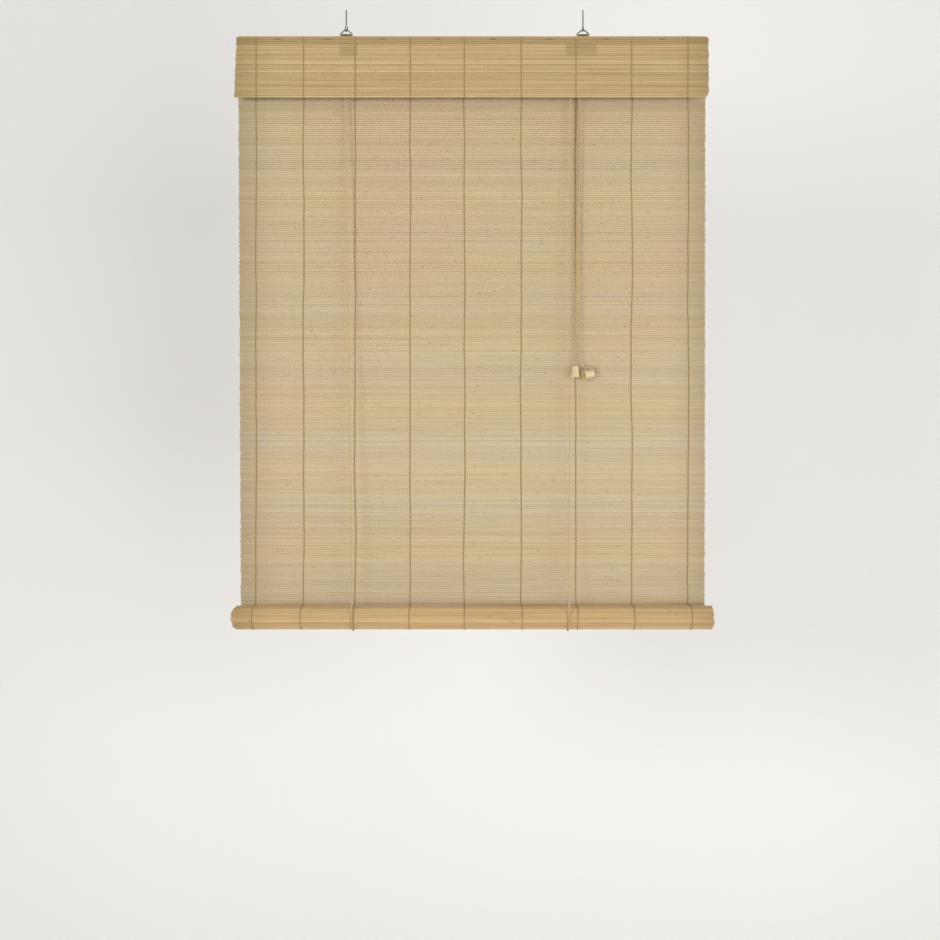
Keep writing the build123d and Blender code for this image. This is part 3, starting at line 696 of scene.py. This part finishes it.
def slatTree():
    tree, given = newTree("slatRows", {
        "Slat Count": "Int", "Pitch": "Float", "Slat Height": "Float", "Slat Thickness": "Float",
        "Left End": "Float", "Right End": "Float", "Left Lean": "Float", "Right Lean": "Float",
        "Top": "Float", "Plane": "Float", "Height Spread": "Float", "End Spread": "Float",
        "Wander": "Float", "Foot Trim": "Float", "Seed": "Int", "Finish": "Material",
    })
    index = addNode(tree, "GeometryNodeInputIndex").outputs[0]
    drop = combine(tree, Z=calc(tree, "MULTIPLY", given["Pitch"], -1.0))
    firstZ = calc(tree, "MULTIPLY_ADD", given["Pitch"], -0.5, given["Top"])
    start = combine(tree, Y=given["Plane"], Z=firstZ)
    rows = addNode(tree, "GeometryNodeMeshLine", {
        "Count": given["Slat Count"], "Start Location": start, "Offset": drop,
    }, mode="OFFSET").outputs[0]
    share = calc(tree, "DIVIDE", index, given["Slat Count"])
    loose = calc(tree, "MULTIPLY", given["End Spread"], -1.0)
    nextSeed = calc(tree, "ADD", given["Seed"], 1.0)
    left = calc(tree, "MULTIPLY_ADD", share, given["Left Lean"], given["Left End"])
    left = calc(tree, "ADD", left, randomValue(tree, loose, given["End Spread"], given["Seed"]))
    right = calc(tree, "MULTIPLY_ADD", share, given["Right Lean"], given["Right End"])
    right = calc(tree, "ADD", right, randomValue(tree, loose, given["End Spread"], nextSeed))
    # the last two slats stop short at the right
    foot = calc(tree, "SUBTRACT", index, calc(tree, "SUBTRACT", given["Slat Count"], 3.0))
    trim = calc(tree, "MULTIPLY", calc(tree, "MAXIMUM", foot, 0.0), given["Foot Trim"])
    right = calc(tree, "SUBTRACT", right, calc(tree, "MULTIPLY", trim, 0.5))
    middle = calc(tree, "MULTIPLY", calc(tree, "ADD", left, right), 0.5)
    rows = moved(tree, rows, Offset=combine(tree, X=middle))
    barFacts = {"Size": (1.0, 1.0, 1.0), "Vertices X": 11, "Vertices Y": 2, "Vertices Z": 3}
    bar = addNode(tree, "GeometryNodeMeshCube", barFacts).outputs[0]
    barPlace = addNode(tree, "GeometryNodeInputPosition").outputs[0]
    barParts = addNode(tree, "ShaderNodeSeparateXYZ", {0: barPlace}).outputs
    edge = calc(tree, "ABSOLUTE", barParts["Z"])
    slim = calc(tree, "MULTIPLY_ADD", edge, -0.7, 1.0)   # thinner at its two long edges, by 0.35
    narrow = combine(tree, X=barParts["X"], Y=calc(tree, "MULTIPLY", barParts["Y"], slim), Z=barParts["Z"])
    bar = moved(tree, bar, Position=narrow)
    lowHeight = calc(tree, "SUBTRACT", 1.0, given["Height Spread"])
    heightShare = randomValue(tree, lowHeight, 1.0, calc(tree, "ADD", given["Seed"], 2.0))
    size = combine(
        tree,
        X=calc(tree, "SUBTRACT", right, left),
        Y=given["Slat Thickness"],
        Z=calc(tree, "MULTIPLY", given["Slat Height"], heightShare),
    )
    placing = {"Points": rows, "Instance": bar, "Scale": size}
    slats = addNode(tree, "GeometryNodeInstanceOnPoints", placing).outputs[0]
    tint = randomValue(tree, 0.0, 1.0, calc(tree, "ADD", given["Seed"], 3.0))
    slats = storeValue(tree, slats, "row", index, "INSTANCE")
    slats = storeValue(tree, slats, "tint", tint, "INSTANCE")
    solid = addNode(tree, "GeometryNodeRealizeInstances", {"Geometry": slats}).outputs[0]
    place = addNode(tree, "GeometryNodeInputPosition").outputs[0]
    along = addNode(tree, "ShaderNodeSeparateXYZ", {0: place}).outputs["X"]
    spot = combine(
        tree,
        X=calc(tree, "MULTIPLY", along, wanderRate["along"]),
        Y=calc(tree, "MULTIPLY", readValue(tree, "row"), wanderRate["slatStep"]),
    )
    wave = calc(tree, "SUBTRACT", noise(tree, spot, 1.0, 1.0), 0.5)
    sway = calc(tree, "MULTIPLY", wave, given["Wander"])
    solid = moved(tree, solid, Offset=combine(tree, Y=calc(tree, "MULTIPLY", sway, 0.5), Z=sway))
    endTree(tree, solid, given["Finish"])
    return tree


def threadTree():
    tree, given = newTree("twinedThreads", {
        "Slat Count": "Int", "Pitch": "Float", "Swing": "Float", "Cross": "Float",
        "Thread Radius": "Float", "Wander": "Float", "Seed": "Int", "Finish": "Material",
    })
    index = addNode(tree, "GeometryNodeInputIndex").outputs[0]
    step = combine(tree, Z=calc(tree, "MULTIPLY", given["Pitch"], -0.5))
    count = calc(tree, "MULTIPLY_ADD", given["Slat Count"], 2.0, 1.0)
    spine = addNode(tree, "GeometryNodeMeshLine", {"Count": count, "Offset": step}, mode="OFFSET").outputs[0]
    turn = calc(tree, "MULTIPLY", index, math.pi / 2)
    strands = addNode(tree, "GeometryNodeJoinGeometry")
    ringFacts = {"Resolution": 5, "Radius": given["Thread Radius"]}
    ringCurve = addNode(tree, "GeometryNodeCurvePrimitiveCircle", ringFacts).outputs[0]
    across = calc(tree, "MULTIPLY", calc(tree, "COSINE", turn), given["Cross"])
    through = calc(tree, "MULTIPLY", calc(tree, "SINE", turn), given["Swing"])
    for side in (1.0, -1.0):
        aside = calc(tree, "MULTIPLY", across, side)
        forward = calc(tree, "MULTIPLY", through, side)
        strand = moved(tree, spine, Offset=combine(tree, X=aside, Y=forward))
        curve = addNode(tree, "GeometryNodeMeshToCurve", {0: strand}).outputs[0]
        tubeFacts = {"Curve": curve, "Profile Curve": ringCurve, "Fill Caps": True}
        tube = addNode(tree, "GeometryNodeCurveToMesh", tubeFacts).outputs[0]
        tree.links.new(tube, strands.inputs[0])
    lines = addNode(tree, "GeometryNodeInstanceOnPoints", {
        "Points": given["Geometry"], "Instance": strands.outputs[0],
    }).outputs[0]
    lines = storeValue(tree, lines, "line", index, "INSTANCE")
    solid = addNode(tree, "GeometryNodeRealizeInstances", {"Geometry": lines}).outputs[0]
    place = addNode(tree, "GeometryNodeInputPosition").outputs[0]
    height = addNode(tree, "ShaderNodeSeparateXYZ", {0: place}).outputs["Z"]
    spot = combine(
        tree,
        X=calc(tree, "MULTIPLY", height, wanderRate["along"]),
        Y=calc(tree, "MULTIPLY_ADD", readValue(tree, "line"), wanderRate["lineStep"], given["Seed"]),
    )
    wave = calc(tree, "SUBTRACT", noise(tree, spot, 1.0, 2.0), 0.5)
    solid = moved(tree, solid, Offset=combine(tree, X=calc(tree, "MULTIPLY", wave, given["Wander"])))
    endTree(tree, solid, given["Finish"])
    return tree


def windTree():
    # winds a flat weave, hung from zero height, into a spiral about an axis along X
    tree, given = newTree("woundWeave", {
        "Start Radius": "Float", "Turn Pitch": "Float", "Axis Y": "Float", "Axis Z": "Float",
        "Left Round": "Float", "Finish": "Material",
    })
    place = addNode(tree, "GeometryNodeInputPosition").outputs[0]
    parts = addNode(tree, "ShaderNodeSeparateXYZ", {0: place}).outputs
    run = calc(tree, "MULTIPLY", parts["Z"], -1.0)
    squared = calc(tree, "POWER", given["Start Radius"], 2.0)
    used = calc(tree, "MULTIPLY", calc(tree, "MULTIPLY", run, given["Turn Pitch"]), 1 / math.pi)
    root = calc(tree, "SQRT", calc(tree, "MAXIMUM", calc(tree, "SUBTRACT", squared, used), 0.0))
    turn = calc(tree, "DIVIDE", calc(tree, "SUBTRACT", given["Start Radius"], root), given["Turn Pitch"])
    turn = calc(tree, "MULTIPLY", turn, 2 * math.pi)
    radius = calc(tree, "ADD", root, parts["Y"])
    cosine = calc(tree, "COSINE", turn)
    sine = calc(tree, "SINE", turn)
    flat = calc(tree, "SUBTRACT", 1.0, calc(tree, "ABSOLUTE", cosine))
    leftHalf = calc(tree, "LESS_THAN", parts["X"], 0.0)
    roundShare = calc(tree, "MULTIPLY", calc(tree, "MULTIPLY", flat, given["Left Round"]), leftHalf)
    squeeze = calc(tree, "SUBTRACT", 1.0, roundShare)
    wound = combine(
        tree,
        X=calc(tree, "MULTIPLY", parts["X"], squeeze),
        Y=calc(tree, "MULTIPLY_ADD", radius, cosine, given["Axis Y"]),
        Z=calc(tree, "SUBTRACT", given["Axis Z"], calc(tree, "MULTIPLY", radius, sine)),
    )
    solid = moved(tree, given["Geometry"], Position=wound)
    solid = addNode(tree, "GeometryNodeRealizeInstances", {"Geometry": solid}).outputs[0]
    endTree(tree, solid, given["Finish"])
    return tree


def applyTrees(name, starts, steps):
    # starts: the points that the first tree works on; steps: (tree, {input name: value}) in order
    mesh = bpy.data.meshes.new(name)
    mesh.from_pydata(starts, [], [])
    raw = bpy.data.objects.new(name + "Source", mesh)
    bpy.context.scene.collection.objects.link(raw)
    for tree, values in steps:
        modifier = raw.modifiers.new(tree.name, "NODES")
        modifier.node_group = tree
        for item in tree.interface.items_tree:
            if item.in_out == "INPUT" and item.name in values:
                modifier[item.identifier] = values[item.name]
    bpy.context.view_layer.update()
    graph = bpy.context.evaluated_depsgraph_get()
    final = raw.evaluated_get(graph)
    plain = bpy.data.meshes.new_from_object(final, preserve_all_data_layers=True, depsgraph=graph)
    plain.name = name
    raw.modifiers.clear()
    bpy.data.objects.remove(raw)
    made = bpy.data.objects.new(name, plain)
    bpy.context.scene.collection.objects.link(made)
    return made


slatRows = slatTree()
twinedThreads = threadTree()
woundWeave = windTree()
threadPlaces = (-0.3545, -0.27375, -0.1860, -0.09225, -0.0005, 0.09625, 0.1890, 0.28375, 0.3795)


# curtain

curtain = {
    "Slat Count": 278, "Pitch": 0.0035, "Slat Height": 0.0034, "Slat Thickness": 0.0017,
    "Left End": -0.3845, "Right End": 0.4090, "Left Lean": 0.0045, "Right Lean": -0.0015,
    "Top": -0.0365, "Plane": 0.0102, "Height Spread": 0.05, "End Spread": 0.0008,
    "Wander": 0.0009, "Foot Trim": 0.0, "Seed": 11, "Finish": finishes["curtainBamboo"],
}
curtainThread = {
    "Slat Count": 278, "Pitch": 0.0035, "Swing": 0.00105, "Cross": 0.00095,
    "Thread Radius": 0.00090, "Wander": 0.0075, "Seed": 3, "Finish": finishes["oliveThread"],
}

curtainSlats = applyTrees("curtainSlats", [], [(slatRows, curtain)])
curtainStarts = [(x, curtain["Plane"], curtain["Top"]) for x in threadPlaces]
curtainThreads = applyTrees("curtainThreads", curtainStarts, [(twinedThreads, curtainThread)])
for piece, node, slotName in (
    (curtainSlats, "curtain_slats", "bamboo"),
    (curtainThreads, "curtain_threads", "thread"),
):
    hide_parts(node)
    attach(piece, "rail")
    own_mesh(piece)
print("curtain made:", len(curtainSlats.data.polygons), len(curtainThreads.data.polygons), "faces")


# valance

valance = dict(curtain)
valance.update({
    "Slat Count": 29, "Left End": -0.3830, "Right End": 0.4095, "Left Lean": -0.0040, "Right Lean": 0.0008,
    "Top": -0.0352, "Plane": -0.0122, "Foot Trim": 0.0036, "Seed": 41, "Wander": 0.0008,
    "Finish": finishes["valanceBamboo"],
})
valanceThread = dict(curtainThread)
valanceThread.update({"Slat Count": 29, "Seed": 9, "Wander": 0.0012})

valanceSlats = applyTrees("valanceSlats", [], [(slatRows, valance)])
valanceDraw = {"middle": 0.0091, "keep": 0.988}   # its threads lie slightly nearer the middle
drawnIn = [valanceDraw["middle"] + (x - valanceDraw["middle"]) * valanceDraw["keep"] for x in threadPlaces]
valanceStarts = [(x, valance["Plane"], valance["Top"]) for x in drawnIn]
valanceThreads = applyTrees("valanceThreads", valanceStarts, [(twinedThreads, valanceThread)])
for piece, node, slotName in (
    (valanceSlats, "valance_slats", "bamboo"),
    (valanceThreads, "valance_threads", "thread"),
):
    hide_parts(node)
    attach(piece, "rail")
print("valance made")


# roll

rolled = dict(curtain)
rolled.update({
    "Slat Count": 108, "Left End": -0.3885, "Right End": 0.4150, "Left Lean": 0.0, "Right Lean": 0.0,
    "Top": 0.0, "Plane": 0.0, "Seed": 71, "Wander": 0.0006, "End Spread": 0.0014,
    "Finish": finishes["rollBamboo"],
})
rolledThread = dict(curtainThread)
rolledThread.update({"Slat Count": 108, "Seed": 17, "Wander": 0.0010})
winding = {
    "Start Radius": 0.0203, "Turn Pitch": 0.0026, "Axis Y": -0.0101, "Axis Z": -1.0095, "Left Round": 0.018,
    "Finish": finishes["rollBamboo"],
}
threadWinding = dict(winding)
threadWinding.update({"Left Round": 0.0, "Finish": finishes["oliveThread"]})

rolledSlats = applyTrees("rolledSlats", [], [(slatRows, rolled), (woundWeave, winding)])
rolledStarts = [(x, 0.0, 0.0) for x in threadPlaces]
threadSteps = [(twinedThreads, rolledThread), (woundWeave, threadWinding)]
rolledThreads = applyTrees("rolledThreads", rolledStarts, threadSteps)
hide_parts("rolled_weave")
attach(rolledSlats, "roll")
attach(rolledThreads, "roll")
print("roll made")


# finishes of the parts that keep their own shape

coats = {
    "zincWire": [
        "left_screw_hook", "right_screw_hook", "left_hanger_ring", "right_hanger_ring",
        "curtain_staples", "valance_staples", "left_cord_eye", "right_cord_eye",
        "strap_screws", "pulley_screws", "lock_screws",
    ],
    "pressedSteel": [
        "pulley_frame", "lock_frame", "pulley_axle", "lock_axle", "lock_spacers", "lock_cam_pin",
    ],
    "dulledBrass": ["left_hanger_strap", "right_hanger_strap"],
    "castCam": ["lock_cam"],
    "railWood": ["head_rail", "bottom_lath"],
    "paleNylon": ["pulley_wheel", "front_lock_wheel", "back_lock_wheel"],
    "creamBell": ["left_tassel", "right_tassel"],
    "creamCord": ["left_anchor_knot", "right_anchor_knot", "left_tassel_knot", "right_tassel_knot"],
}
for coat, coated in coats.items():
    for name in coated:
        nodes[name].data.materials.clear()
        nodes[name].data.materials.append(finishes[coat])
print("finishes given")
